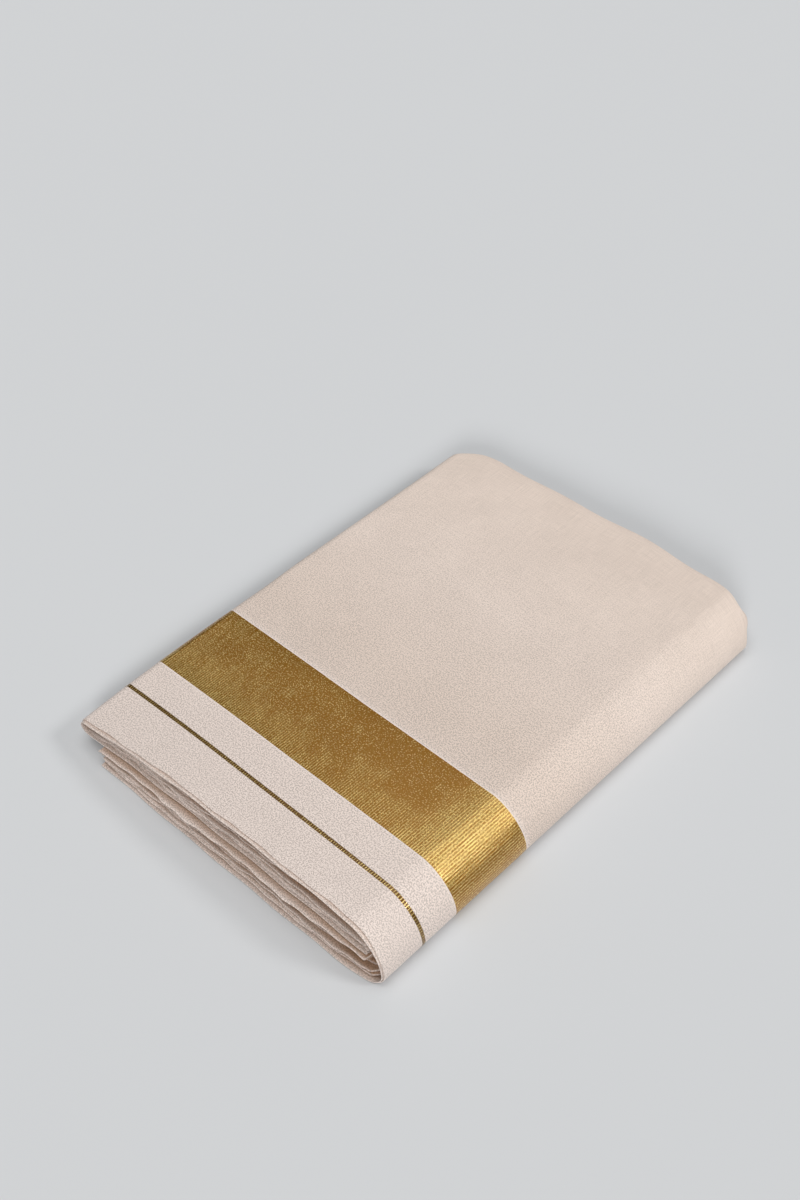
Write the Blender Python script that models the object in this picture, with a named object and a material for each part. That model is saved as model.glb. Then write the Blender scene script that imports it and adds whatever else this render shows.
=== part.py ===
"""A cotton dhoti with a woven gold border, folded into a flat packet.

The cloth is 3.70 m long and 1.27 m wide. It is folded in four across its width, so that both
selvedges come to the near end, and then in sixteen along its length, as a book is closed. One large
round fold is on the right, and small folds are on the left.

X runs from the small folds to the large fold, Y from the selvedges to the far folds, and Z up. The
origin is the middle of the packet's footprint, on the surface that it lies on.
"""

import math
from collections import namedtuple

import bmesh
import bpy

# The whole cloth and how often it is folded
CLOTH_LENGTH = 3.70
CLOTH_WIDTH = 1.27
LEAVES_ALONG = 16
LEAVES_ACROSS = 4

# The packet: its width runs from the small folds to the large one
PACKET_WIDTH = CLOTH_LENGTH / LEAVES_ALONG
PACKET_LENGTH = CLOTH_WIDTH / LEAVES_ACROSS
WALL = 0.0012
HALF_WALL = WALL / 2
GAP = 0.0003

# Height of the packet over the surface at its four corners, and the rise in the middle of its ends
Corner = namedtuple("Corner", "left right rise")
NEAR_HEIGHT = Corner(left=0.0214, right=0.0340, rise=0.0058)
FAR_HEIGHT = Corner(left=0.0185, right=0.0291, rise=0.0006)
TUCK_SHARE = 0.50
TUCK_SETBACK = 0.0120
LOWER_SETBACK = 0.0195

# The large fold slumps: a long shoulder, widest low down, over a small round foot
SHOULDER_LENGTH = 0.0247
SHOULDER_POWER = 1.76
WIDEST_SHARE = 0.23
FOOT_TURN = 0.35

# The far corners are drawn back from the far edge's line
LEFT_CORNER = 0.034
LEFT_DRAW_BACK = 0.010
RIGHT_CORNER = 0.040
RIGHT_DRAW_BACK = 0.013

# The near left corner droops
DROOP = 0.0030
DROOP_REACH = 0.060

# Where the edges and the woven lines cross the packet, as Y over the left and over the right side
Crossing = namedtuple("Crossing", "left right")
UPPER_SELVEDGE = Crossing(-0.0025, 0.0015)
LOWER_SELVEDGE = Crossing(-0.0073, -0.0030)
LOWER_LAG = 3
LINE_START = Crossing(0.0296, 0.0284)
LINE_END = Crossing(0.0319, 0.0307)
BAND_START = Crossing(0.0543, 0.0540)
BAND_END = Crossing(0.1093, 0.1085)
FAR_EDGE = Crossing(PACKET_LENGTH - 0.0030, PACKET_LENGTH + 0.0012)
FAR_WAVE = 0.0006
FAR_WAVE_COUNT = 3.5
EDGE_SAMPLES = 200
FOLD_ROUND = 0.0008
FOLD_PROFILE = ((0.0003, 0.80), (0.0, 0.35))

# The leaves between the outer wrap's halves: how each one's near, far and left end lies
Leaf = namedtuple("Leaf", "near far left sway")
LEAVES = (
    Leaf(near=0.0030, far=0.0012, left=0.0000, sway=0.0007),
    Leaf(near=0.0052, far=0.0004, left=0.0016, sway=0.0011),
    Leaf(near=0.0036, far=0.0018, left=0.0028, sway=0.0009),
    Leaf(near=0.0060, far=0.0007, left=0.0010, sway=0.0012),
)
LEAF_STATIONS = 10
STATION_POWER = 1.7
SWAY_COUNT = 1.3
SWAY_COUNT_STEP = 0.6
LEAF_ROUND = 0.0022
LEAF_PROFILE = ((0.0, 0.0), (0.14, 0.72), (0.5, 1.0), (0.86, 0.72))
CAVITY_DEPTH = 0.0050
FLAP_REACH = 0.0060

# Over what distance the top and the tucked leaf ease into the small fold
SETTLE_RUN = 0.012

# How finely each stretch of the outer wrap's path is divided; the top's divisions crowd to its ends
CROWDING = 0.09
SHARP_ANGLE = 40
Stretch = namedtuple("Stretch", "name steps")
WRAP_PATH = (
    Stretch("tuck", 12),
    Stretch("small fold", 8),
    Stretch("top", 12),
    Stretch("large fold", 12),
    Stretch("underside", 5),
)
LEAF_PATH = (Stretch("upper", 12), Stretch("turn", 10), Stretch("lower", 11))

Finish = namedtuple("Finish", "colour roughness metallic")
COTTON = Finish(colour=(0.70, 0.62, 0.55), roughness=0.78, metallic=0.0)
ZARI = Finish(colour=(0.43, 0.27, 0.07), roughness=0.36, metallic=0.85)


def mix(a, b, share):
    return a + (b - a) * share


def across(crossing, x):
    """The Y of a woven line or an edge over the point x."""
    return mix(crossing.left, crossing.right, x / PACKET_WIDTH)


def top_height(x, y):
    """Height of the packet's upper surface."""
    share = x / PACKET_WIDTH
    along = min(max(y / PACKET_LENGTH, 0.0), 1.0)
    left = mix(NEAR_HEIGHT.left, FAR_HEIGHT.left, along)
    right = mix(NEAR_HEIGHT.right, FAR_HEIGHT.right, along)
    rise = mix(FAR_HEIGHT.rise, NEAR_HEIGHT.rise, (1 - along) ** 3)
    near_left = max(1 - x / DROOP_REACH, 0.0) * max(1 - max(y, 0.0) / DROOP_REACH, 0.0)
    droop = DROOP * near_left**2
    return mix(left, right, share) + rise * 4 * share * (1 - share) - droop


def shoulder_start():
    """X where the top begins to turn down into the large fold."""
    return PACKET_WIDTH - SHOULDER_LENGTH


def large_fold(share, y, inset):
    """X and Z on the large fold's outline, drawn in by inset: the shoulder, then the foot."""
    top = top_height(shoulder_start(), y)
    widest = WIDEST_SHARE * top
    if share < 1 - FOOT_TURN:
        turn = math.pi / 2 * (1 - share / (1 - FOOT_TURN))
        power = 2 / SHOULDER_POWER
        x = shoulder_start() + (SHOULDER_LENGTH - inset) * math.cos(turn) ** power
        return x, widest + (top - widest - inset) * math.sin(turn) ** power
    turn = math.pi / 2 * (share - 1 + FOOT_TURN) / FOOT_TURN
    foot = widest - inset
    return PACKET_WIDTH - widest + foot * math.cos(turn), widest - foot * math.sin(turn)


def foot_start(y):
    """X where the large fold comes down onto the underside."""
    return PACKET_WIDTH - WIDEST_SHARE * top_height(shoulder_start(), y)


def tuck_height(x, y):
    """Height of the middle of the leaf that is tucked between the packet's halves."""
    return TUCK_SHARE * top_height(x, y)


def tuck_end():
    return PACKET_WIDTH - TUCK_SETBACK


def small_fold(y):
    """Radius of the small fold's middle line, and the height of its centre."""
    top = top_height(0.0, y) - HALF_WALL
    tuck = tuck_height(0.0, y)
    return (top - tuck) / 2, (top + tuck) / 2


def wrap_point(stretch, share, y):
    """X and Z of the middle of the outer wrap's wall."""
    radius, centre = small_fold(y)
    start = radius + HALF_WALL
    if stretch == "tuck":
        x = mix(tuck_end(), start, share)
        return x, settle(tuck_height(x, y), centre - radius, x - start)
    if stretch == "small fold":
        turn = -math.pi / 2 - math.pi * share
        return start + radius * math.cos(turn), centre + radius * math.sin(turn)
    if stretch == "top":
        x = mix(start, shoulder_start(), share - CROWDING * math.sin(2 * math.pi * share))
        return x, settle(top_height(x, y) - HALF_WALL, centre + radius, x - start)
    if stretch == "large fold":
        return large_fold(share, y, HALF_WALL)
    return mix(foot_start(y), LOWER_SETBACK, share), HALF_WALL


def settle(level, end_level, distance):
    """A height that eases into end_level where distance falls to nothing."""
    share = min(max(distance / SETTLE_RUN, 0.0), 1.0)
    return mix(end_level, level, share * share * (3 - 2 * share))


def wrap_places():
    """Each division of the outer wrap's path, as a stretch and a share of it."""
    places = []
    for stretch in WRAP_PATH:
        places += [(stretch.name, step / stretch.steps) for step in range(stretch.steps)]
    return places + [(WRAP_PATH[-1].name, 1.0)]


def wall_point(places, index, side, y):
    """A point on the outer face (side 1) or the inner face (side -1) of the outer wrap."""
    x, z = wrap_point(*places[index], y)
    before = wrap_point(*places[max(index - 1, 0)], y)
    after = wrap_point(*places[min(index + 1, len(places) - 1)], y)
    run_x, run_z = after[0] - before[0], after[1] - before[1]
    length = math.hypot(run_x, run_z)
    return x - side * HALF_WALL * run_z / length, z + side * HALF_WALL * run_x / length


def selvedge(place, x):
    """Y of the near edge: below the large fold it stands out further than above it."""
    stretch, share = place
    upper, lower = across(UPPER_SELVEDGE, x), across(LOWER_SELVEDGE, x)
    if stretch in ("underside", "lower"):
        return lower
    if stretch in ("large fold", "turn"):
        return mix(upper, lower, share**LOWER_LAG)
    return upper


def far_edge(x):
    """Y of the far folds over the point x: a slightly wavy line, drawn back at both corners."""
    wave = FAR_WAVE * math.sin(2 * math.pi * FAR_WAVE_COUNT * x / PACKET_WIDTH)
    left = max(1 - x / LEFT_CORNER, 0.0) ** 2 * LEFT_DRAW_BACK
    right = max(1 - (PACKET_WIDTH - x) / RIGHT_CORNER, 0.0) ** 2 * RIGHT_DRAW_BACK
    return across(FAR_EDGE, x) + wave - left - right


def block(name, point, steps, material):
    """A closed solid whose faces are the six sides of a bent grid. point(i, j, k) gives each corner."""
    mesh = bmesh.new()
    corners = {}

    def corner(key):
        if key not in corners:
            corners[key] = mesh.verts.new(point(*key))
        return corners[key]

    for fixed in range(3):
        first, second = [axis for axis in range(3) if axis != fixed]
        for end in (0, steps[fixed]):
            for i in range(steps[first]):
                for j in range(steps[second]):
                    loop = []
                    for di, dj in ((0, 0), (1, 0), (1, 1), (0, 1)):
                        key = [0, 0, 0]
                        key[fixed], key[first], key[second] = end, i + di, j + dj
                        loop.append(corner(tuple(key)))
                    mesh.faces.new(loop)
    bmesh.ops.recalc_face_normals(mesh, faces=mesh.faces)
    data = bpy.data.meshes.new(name)
    mesh.to_mesh(data)
    mesh.free()
    data.shade_smooth()
    data.set_sharp_from_angle(angle=math.radians(SHARP_ANGLE))
    data.materials.append(material)
    return bpy.data.objects.new(name, data)


def to_world(x, y, z):
    """From the packet's near left corner to the origin under its middle."""
    nearest = across(LOWER_SELVEDGE, LOWER_SETBACK)
    return x - PACKET_WIDTH / 2, y - (nearest + far_reach()) / 2, z


def far_reach():
    """The largest Y of the whole packet."""
    return max(far_edge(PACKET_WIDTH * step / EDGE_SAMPLES) for step in range(EDGE_SAMPLES + 1))


def wrap_piece(name, start, end, steps, material, far_fold=False):
    """The outer wrap between two crossings, all round its path. Its far fold is a round edge."""
    places = wrap_places()
    rounding = len(FOLD_PROFILE) if far_fold else 0

    def point(i, j, k):
        x = wrap_point(*places[i], PACKET_LENGTH / 2)[0]
        first = start(places[i], x)
        last = end(places[i], x)
        thickness = 1.0
        if k <= steps:
            y = mix(first, last - (FOLD_ROUND if far_fold else 0.0), k / steps)
        else:
            back, thickness = FOLD_PROFILE[k - steps - 1]
            y = last - back
        x, z = wall_point(places, i, (1 - 2 * j) * thickness, y)
        return to_world(x, y, z)

    return block(name, point, (len(places) - 1, 1, steps + rounding), material)


def crossing(line, offset):
    """A piece's limit at a woven line, which is the same all round the wrap's path."""
    return lambda place, x: across(line, x) + offset


def far_limit(place, x):
    """A piece's limit at the far folds."""
    return far_edge(x)


def leaf_rings():
    """Each division through the leaves' thickness: its share, its leaf and how far out it stands."""
    rings = []
    for index in range(len(LEAVES)):
        for share, out in LEAF_PROFILE:
            rings.append(((index + share) / len(LEAVES), index, out))
    return rings + [(1.0, len(LEAVES) - 1, 0.0)]


def leaf_outer(stretch, share, y):
    """X and Z of the leaves' outer face, just inside the outer wrap."""
    if stretch == "upper":
        x, z = wrap_point("top", share, y)
        return x, z - HALF_WALL - GAP
    if stretch == "turn":
        return large_fold(share, y, WALL + GAP)
    return mix(foot_start(y), LOWER_SETBACK + LEAF_ROUND, share), WALL + GAP


def leaf_inner(stretch, share, y):
    """X and Z of the leaves' inner face, round the tucked leaf."""
    clear = HALF_WALL + GAP
    radius, centre = small_fold(y)
    start = radius + HALF_WALL
    end = tuck_end() + GAP
    if stretch == "upper":
        x = mix(start, end, share)
        return x, settle(tuck_height(x, y), centre - radius, x - start) + clear
    if stretch == "turn":
        turn = math.pi / 2 - math.pi * share
        return end + clear * math.cos(turn), tuck_height(end, y) + clear * math.sin(turn)
    x = mix(end, LOWER_SETBACK + LEAF_ROUND, share)
    return x, settle(tuck_height(x, y), centre - radius, x - start) - clear


def leaf_start(index, place, x):
    """Y of a leaf's near edge, swaying a little along the packet."""
    leaf = LEAVES[index]
    waves = (SWAY_COUNT + SWAY_COUNT_STEP * index) * x / PACKET_WIDTH
    sway = leaf.sway * math.sin(2 * math.pi * waves + index)
    return selvedge(place, x) + leaf.near + sway


def leaf_end(index, x, stand_out):
    """Y of a leaf's far fold: at the large fold the inner leaves stand out past the outer wrap."""
    return far_edge(x) - LEAVES[index].far + FLAP_REACH * stand_out


def inner_leaves(material):
    """The leaves inside the outer wrap: one solid bent round the large fold, layered at its edges."""
    places = []
    for stretch in LEAF_PATH:
        places += [(stretch.name, step / stretch.steps) for step in range(stretch.steps)]
    places.append((LEAF_PATH[-1].name, 1.0))
    rings = leaf_rings()
    last = (len(places) - 1, len(rings) - 1, LEAF_STATIONS)

    def point(i, j, k):
        stretch, share = places[i]
        depth, index, out = rings[j]
        turning = math.sin(math.pi * share) if stretch == "turn" else 0.0
        middle = PACKET_LENGTH / 2
        x = mix(leaf_outer(stretch, share, middle)[0], leaf_inner(stretch, share, middle)[0], depth)
        near = leaf_start(index, places[i], x) + CAVITY_DEPTH * turning + LEAF_ROUND * (1 - out)
        far = leaf_end(index, x, turning) - LEAF_ROUND * (1 - out)
        y = mix(near, far, (k / LEAF_STATIONS) ** STATION_POWER)
        outer, inner = leaf_outer(stretch, share, y), leaf_inner(stretch, share, y)
        x, z = mix(outer[0], inner[0], depth), mix(outer[1], inner[1], depth)
        if i == 0:
            clear = small_fold(y)[0] - HALF_WALL - GAP
            x -= clear * math.sqrt(max(1 - (2 * depth - 1) ** 2, 0.0))
        if i == last[0]:
            x -= (LEAF_ROUND - LEAVES[index].left) * out
        return to_world(x, y, z)

    return block("inner_leaves", point, last, material)


def make_material(name, finish):
    material = bpy.data.materials.new(name)
    material.use_nodes = True
    shader = material.node_tree.nodes["Principled BSDF"]
    shader.inputs["Base Color"].default_value = (*finish.colour, 1.0)
    shader.inputs["Roughness"].default_value = finish.roughness
    shader.inputs["Metallic"].default_value = finish.metallic
    return material


def main():
    for old in list(bpy.data.objects):
        bpy.data.objects.remove(old, do_unlink=True)
    cotton = make_material("cotton_cloth", COTTON)
    zari = make_material("zari_weave", ZARI)
    half = GAP / 2
    pieces = [
        wrap_piece("selvedge_strip", selvedge, crossing(LINE_START, -half), 4, cotton),
        wrap_piece("thin_zari_line", crossing(LINE_START, half), crossing(LINE_END, -half), 1, zari),
        wrap_piece("plain_strip", crossing(LINE_END, half), crossing(BAND_START, -half), 2, cotton),
        wrap_piece("wide_zari_band", crossing(BAND_START, half), crossing(BAND_END, -half), 4, zari),
        wrap_piece("plain_body", crossing(BAND_END, half), far_limit, 11, cotton, True),
        inner_leaves(cotton),
    ]
    packet = bpy.data.collections.new("folded_dhoti")
    bpy.context.scene.collection.children.link(packet)
    for piece in pieces:
        packet.objects.link(piece)


main()
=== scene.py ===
"""The visible cloth of a cotton dhoti with a woven gold border, folded into a flat packet.

The packet is one woven length. What shows is the outer cloth, cut here along its woven lines, the
cloth layer just inside it, and the edges and folds of the leaves between them.

Along is measured on the cloth from the left of the packet's top, over the large fold and back
beneath. Across is measured from the selvedge. X runs from the small folds to the large fold, Y from
the selvedges to the far folds, and Z up.
"""

import math
from collections import namedtuple

import bpy
import numpy as np
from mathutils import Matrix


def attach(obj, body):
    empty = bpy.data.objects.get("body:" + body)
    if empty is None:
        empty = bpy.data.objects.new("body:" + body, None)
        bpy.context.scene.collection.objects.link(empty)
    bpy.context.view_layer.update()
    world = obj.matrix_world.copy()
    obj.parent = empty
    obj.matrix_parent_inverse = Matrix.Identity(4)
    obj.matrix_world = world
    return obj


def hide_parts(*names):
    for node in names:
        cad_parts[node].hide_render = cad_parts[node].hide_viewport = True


bl_info = {
    "name": "Folded Dhoti",
    "version": (1, 0, 0),
    "blender": (4, 5, 0),
    "location": "3D View > Sidebar > Dhoti",
    "description": "Makes a dhoti cloth with a woven gold border, folded into a packet",
    "category": "Add Mesh",
}

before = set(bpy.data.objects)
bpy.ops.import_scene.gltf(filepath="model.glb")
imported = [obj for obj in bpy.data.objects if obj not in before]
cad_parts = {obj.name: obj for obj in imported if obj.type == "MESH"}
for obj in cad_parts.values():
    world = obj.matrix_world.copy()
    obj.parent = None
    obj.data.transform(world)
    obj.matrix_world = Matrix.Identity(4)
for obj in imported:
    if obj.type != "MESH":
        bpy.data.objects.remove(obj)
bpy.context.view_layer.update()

# The packet's form, as in the solids
PACKET_WIDTH = 0.23125
PACKET_LENGTH = 0.3175
WALL = 0.0012
HALF_WALL = WALL / 2
Corner = namedtuple("Corner", "left right rise")
NEAR_HEIGHT = Corner(left=0.0214, right=0.0340, rise=0.0058)
FAR_HEIGHT = Corner(left=0.0185, right=0.0291, rise=0.0006)
TUCK_SHARE = 0.50
TUCK_SETBACK = 0.0120
LOWER_SETBACK = 0.0195
SHOULDER_LENGTH = 0.0247
SHOULDER_POWER = 1.76
WIDEST_SHARE = 0.23
FOOT_TURN = 0.35
SHOULDER_START = PACKET_WIDTH - SHOULDER_LENGTH
TUCK_END = PACKET_WIDTH - TUCK_SETBACK
LEFT_CORNER = 0.034
LEFT_DRAW_BACK = 0.010
RIGHT_CORNER = 0.040
RIGHT_DRAW_BACK = 0.013
DROOP = 0.0030
DROOP_REACH = 0.060
SETTLE_RUN = 0.012
EASE_RUN = 0.080
LOWER_CORNER = 0.0030
LOWER_CORNER_REACH = 0.030
LOWER_BOW = 0.0009
LOWER_RISE = 0.0022
LOWER_RISE_START = 0.86
FAR_LEFT_IN = 0.0026
FAR_LEFT_START = 0.150
FAR_WAVE = 0.0006
FAR_WAVE_COUNT = 3.5
LOWER_LAG = 3
Swell = namedtuple("Swell", "x reach amount")
FAR_SWELL = Swell(x=0.138, reach=0.030, amount=0.0020)
LEFT_TIP = Swell(x=0.0, reach=0.018, amount=0.0055)
RIGHT_TIP = Swell(x=0.2245, reach=0.0055, amount=0.0022)

# Where the edges and the woven lines cross the packet, as Y over its left and over its right side
Crossing = namedtuple("Crossing", "left right")
UPPER_SELVEDGE = Crossing(-0.0025, 0.0015)
LOWER_SELVEDGE = Crossing(-0.0073, -0.0030)
LINE_START = Crossing(0.0296, 0.0284)
LINE_END = Crossing(0.0319, 0.0307)
BAND_START = Crossing(0.0543, 0.0540)
BAND_END = Crossing(0.1093, 0.1085)
FAR_EDGE = Crossing(PACKET_LENGTH - 0.0030, PACKET_LENGTH + 0.0012)

# The same lines on the flat cloth, from the selvedge
CLOTH_LINE_START = 0.0310
CLOTH_LINE_END = 0.0333
CLOTH_BAND_START = 0.0560
CLOTH_BAND_END = 0.1110
CLOTH_FAR_FOLD = 0.3175
LINE_BOW = 0.0015
LINE_BOW_BASE = -0.0004

# The finish of the cloth, in the same measures: where painted shade darkens the cotton beyond the
# band, where the gold's ribs show, and where painted highlight makes the gold paler on the large
# fold and towards the left and painted shade makes it darker at the fold's foot
# Painted shade beyond the band: how far it reaches, over what runs it fades in and out, and how much
# it darkens
SHADED_STRIP_END = 0.215
SHADED_STRIP_RISE = 0.004
SHADED_STRIP_FALL = 0.075
SHADED_STRIP = (0.925, 0.905, 0.880, 1.0)
DARKER_YARN = (0.62, 0.61, 0.60, 1.0)
PALE_REACH = 0.0011
YARN_RUN = 70.0
YARN_FINE = 2600.0
# Y where the cotton's near and far colours are reached: a change that is mostly painted light along
# the packet and partly the cloth's own tone
TINT_START = -0.14
TINT_END = 0.15
ZARI_THREAD_PITCH = 0.00062
RIBBED_REACH = 0.034
# On the gold: where painted highlight brightens it and its ribs over the large fold, where painted
# shade darkens it at the fold's foot, and over what run painted light brightens it towards the left
HIGHLIGHT_FOLD_START = 0.180
HIGHLIGHT_FOLD_RUN = 0.022
SHADED_FOLD_START = 0.214
SHADED_FOLD_RUN = 0.012
LIT_LEFT_RUN = 0.17
SEED_STEP = 31.7
RIB_EDGE = 0.0006
RIB_EDGE_SHARE = 0.25
RIB_END_RUN = 0.004

# The two cloth layers of the outer wrap, as depths below its outer face
CLOTH_THICK = 0.00045
SECOND_DEPTH = 0.00075
SELVEDGE_BACK = 0.0021
TURN_BACK = 0.0140
TURN_GAP = 0.0015
BEND_STEPS = 6
BACK_STEPS = 4
TUCK_CLEAR = 0.0004

# The outer wrap's path in its five stretches, and the Y levels at which it is worked out
WRAP = ("tuck", "small fold", "top", "large fold", "underside")
LEAF = ("upper", "turn", "lower")
TOP_STRETCH = 2
LOWEST = 0.00002
LEVEL_LOW = -0.016
LEVEL_HIGH = 0.330
LEVELS = 44
FINE = 160

# Soft creases: where each starts and ends, in millimetres along and across the laid cloth,
# how deep its trough is (a ridge is below nought) and how wide
Crease = namedtuple("Crease", "along y to_along to_y depth width")
CREASES = (
    Crease(46, 209.0, 112, 210.5, 0.30, 1.9),
    Crease(112, 210.5, 168, 204.0, 0.34, 7.5),
    Crease(-4, 141.0, 196, 143.0, 0.62, 15.0),
    Crease(20, 180.0, 175, 187.0, -0.34, 12.0),
    Crease(8, 22.0, 198, 20.5, 0.26, 6.5),
    Crease(30, 47.0, 205, 45.0, 0.22, 5.0),
    Crease(38, 3.0, 47, 16.0, 0.20, 3.6),
    Crease(84, 1.0, 92, 11.0, -0.22, 4.4),
    Crease(139, 2.0, 133, 20.0, 0.24, 5.2),
    Crease(176, 2.0, 184, 13.0, -0.20, 4.0),
    Crease(12, 76.0, 46, 90.0, -0.24, 6.0),
    Crease(72, 94.0, 118, 84.0, 0.22, 8.0),
    Crease(22, 262.0, 64, 300.0, 0.30, 10.0),
    Crease(86, 238.0, 168, 292.0, -0.34, 13.0),
    Crease(128, 300.0, 190, 262.0, 0.26, 9.0),
    Crease(60, 168.0, 70, 236.0, 0.20, 8.0),
    Crease(188, 160.0, 196, 250.0, -0.24, 8.0),
    Crease(214, 118.0, 219, 176.0, 0.26, 5.0),
    Crease(218, 208.0, 212, 288.0, 0.22, 5.6),
    Crease(232, 24.0, 238, 92.0, 0.20, 4.6),
    Crease(-8, 60.0, -6, 128.0, 0.18, 3.0),
    Crease(-9, 190.0, -5, 276.0, 0.20, 3.4),
    Crease(276, 66.0, 380, 96.0, 0.28, 8.0),
    Crease(300, 188.0, 430, 174.0, 0.30, 9.0),
    Crease(286, 276.0, 402, 290.0, 0.26, 7.0),
)

# The leaves between the wrap's halves, from the outside in. Each one's near edge lies back from the
# selvedge by these amounts at the left, middle and right of the upper and of the lower half, and its
# ends by the others, all in millimetres
LeafRow = namedtuple("LeafRow", "upper lower sway count phase step left_up left_low far")
LEAVES = (
    LeafRow((1.4, 4.6, 11.0), (1.0, 1.4, 1.9), 0.5, 2.3, 0.4, 0.9, 0.6, 0.5, 0.6),
    LeafRow((2.2, 5.8, 13.0), (1.2, 2.6, 1.2), 0.7, 3.1, 1.9, -0.5, 2.6, 0.2, 1.4),
    LeafRow((1.2, 4.0, 11.6), (1.6, 3.6, 6.8), 0.6, 1.7, 2.8, 0.7, 3.4, 0.7, 0.4),
    LeafRow((2.0, 3.6, 12.4), (1.1, 7.4, 9.6), 0.8, 2.6, 0.9, -0.7, 2.0, 0.3, 1.0),
    LeafRow((1.1, 2.2, 8.4), (1.7, 5.2, 8.8), 0.5, 3.4, 3.7, 0.5, 3.8, 0.8, 0.2),
    LeafRow((1.9, 1.2, 1.7), (1.3, 7.0, 9.2), 0.6, 2.1, 5.1, 0.8, 2.4, 0.4, 1.2),
    LeafRow((1.4, 0.8, 0.9), (1.0, 1.0, 1.2), 0.7, 2.9, 4.2, -0.6, 4.2, 0.6, 0.7),
)
LEAF_DEPTH = 0.0021
LEAF_SPACE = 0.060
LEAF_NOSE = 0.0009
LEAF_BACK = 0.0006
LEAF_END = 0.06
TURN_IN = 0.003
MIDDLE_OUT = 0.0045
CROWDING = 1.8
LIP = (
    (0.00, 0.70),
    (0.07, 0.28),
    (0.17, 0.04),
    (0.28, 0.00),
    (0.38, 0.22),
    (0.45, 1.30),
    (0.50, 2.40),
    (0.55, 1.40),
    (0.62, 0.30),
    (0.72, 0.00),
    (0.83, 0.05),
    (0.93, 0.30),
    (1.00, 0.70),
)
# Painted shade in the packet's recesses: how far in from an end it starts and over what run it
# deepens, over what run it fades at a tucked stretch's end, and over what run and how much it darkens
# a layer under the outer one
SHADE_START = 0.0006
SHADE_RUN = 0.0042
TUCKED_RUN = 0.0030
COVERED_RUN = 0.0042
COVERED_MOST = 0.9
GROOVE_LEFT = 0.15
GROOVE_HALF = 0.14
EDGE_REACH = 0.0009
# How much of the painted shade is taken off at a leaf's own edge, which catches the light
EDGE_UNSHADED = 1.0
FINE_SWAY = 0.55
FINE_SWAY_TURN = 4.3
PINCH = 0.34
PINCH_REACH = 0.0035
Ripple = namedtuple("Ripple", "order amount count phase")
RIPPLES = (
    Ripple(1, 0.022, 1.6, 0.3),
    Ripple(2, 0.026, 3.7, 2.2),
    Ripple(3, 0.018, 6.1, 4.0),
)
RIPPLE_REACH = 0.009

# The camera, from the packet's near left corner, and the light on the floor
FLOOR_HALF = 12.0
EYE = (0.5319, -0.3023, 0.7468)
LENS = 50.5
TILT = 42.75
TURN = 43.63
SOFTBOXES = (
    ("side_light", (0.50, -0.70, 0.43), 1.50, 18.0),
    ("top_light", (-0.04, -0.05, 1.0), 1.64, 54.0),
    ("far_light", (0.66, 0.44, 0.61), 0.84, 14.0),
)


def mix(a, b, share):
    return a + (b - a) * share


def across(crossing, x):
    """The Y of a woven line or an edge over the point x."""
    return mix(crossing.left, crossing.right, x / PACKET_WIDTH)


def woven(line, x):
    """The Y of a woven line over the point x, where the cloth has drifted a little at both ends."""
    return across(line, x) + LINE_BOW_BASE + LINE_BOW * np.abs(2 * x / PACKET_WIDTH - 1) ** 1.5


def top_height(x, y):
    """Height of the packet's upper surface."""
    share = x / PACKET_WIDTH
    along = np.clip(y / PACKET_LENGTH, 0.0, 1.0)
    left = mix(NEAR_HEIGHT.left, FAR_HEIGHT.left, along)
    right = mix(NEAR_HEIGHT.right, FAR_HEIGHT.right, along)
    rise = mix(FAR_HEIGHT.rise, NEAR_HEIGHT.rise, (1 - along) ** 3)
    near = np.clip(1 - np.maximum(y, 0.0) / DROOP_REACH, 0.0, 1.0)
    droop = DROOP * (np.clip(1 - x / DROOP_REACH, 0.0, 1.0) * near) ** 2
    return mix(left, right, share) + rise * 4 * share * (1 - share) - droop


def large_fold(share, y, inset):
    """X and Z on the large fold's outline, drawn in by inset: the shoulder, then the foot."""
    top = top_height(SHOULDER_START, y)
    widest = WIDEST_SHARE * top
    shoulder = np.clip(1 - share / (1 - FOOT_TURN), 0.0, 1.0) * math.pi / 2
    foot = np.clip((share - 1 + FOOT_TURN) / FOOT_TURN, 0.0, 1.0) * math.pi / 2
    power = 2 / SHOULDER_POWER
    upper_x = SHOULDER_START + (SHOULDER_LENGTH - inset) * np.cos(shoulder) ** power
    upper_z = widest + (top - widest - inset) * np.sin(shoulder) ** power
    lower_x = PACKET_WIDTH - widest + (widest - inset) * np.cos(foot)
    lower_z = widest - (widest - inset) * np.sin(foot)
    above = share < 1 - FOOT_TURN
    return np.where(above, upper_x, lower_x), np.where(above, upper_z, lower_z)


def foot_start(y):
    """X where the large fold comes down onto the underside."""
    return PACKET_WIDTH - WIDEST_SHARE * top_height(SHOULDER_START, y)


def tuck_height(x, y):
    """Height of the middle of the leaf that is tucked between the packet's halves."""
    return TUCK_SHARE * top_height(x, y)


def small_fold(y):
    """Radius of the small fold's middle line, and the height of its centre."""
    top = top_height(0.0, y) - HALF_WALL
    tuck = tuck_height(0.0, y)
    return (top - tuck) / 2, (top + tuck) / 2


def settle(level, end_level, distance):
    """A height that eases into end_level where distance falls to nothing."""
    share = np.clip(distance / SETTLE_RUN, 0.0, 1.0)
    return mix(end_level, level, share * share * (3 - 2 * share))


def corner_draw(y):
    """How far the lower half is drawn in at its near left corner."""
    return LOWER_CORNER * np.clip(1 - y / LOWER_CORNER_REACH, 0.0, 1.0) ** 2


def lower_end(y):
    """X where the lower half ends on the left."""
    return LOWER_SETBACK + corner_draw(y)


def fold_start(y):
    """X where the small fold starts, drawn in towards its far corner."""
    radius, _ = small_fold(y)
    far = np.clip((y - FAR_LEFT_START) / (PACKET_LENGTH - FAR_LEFT_START), 0.0, 1.0)
    return radius + HALF_WALL + FAR_LEFT_IN * far


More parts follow.
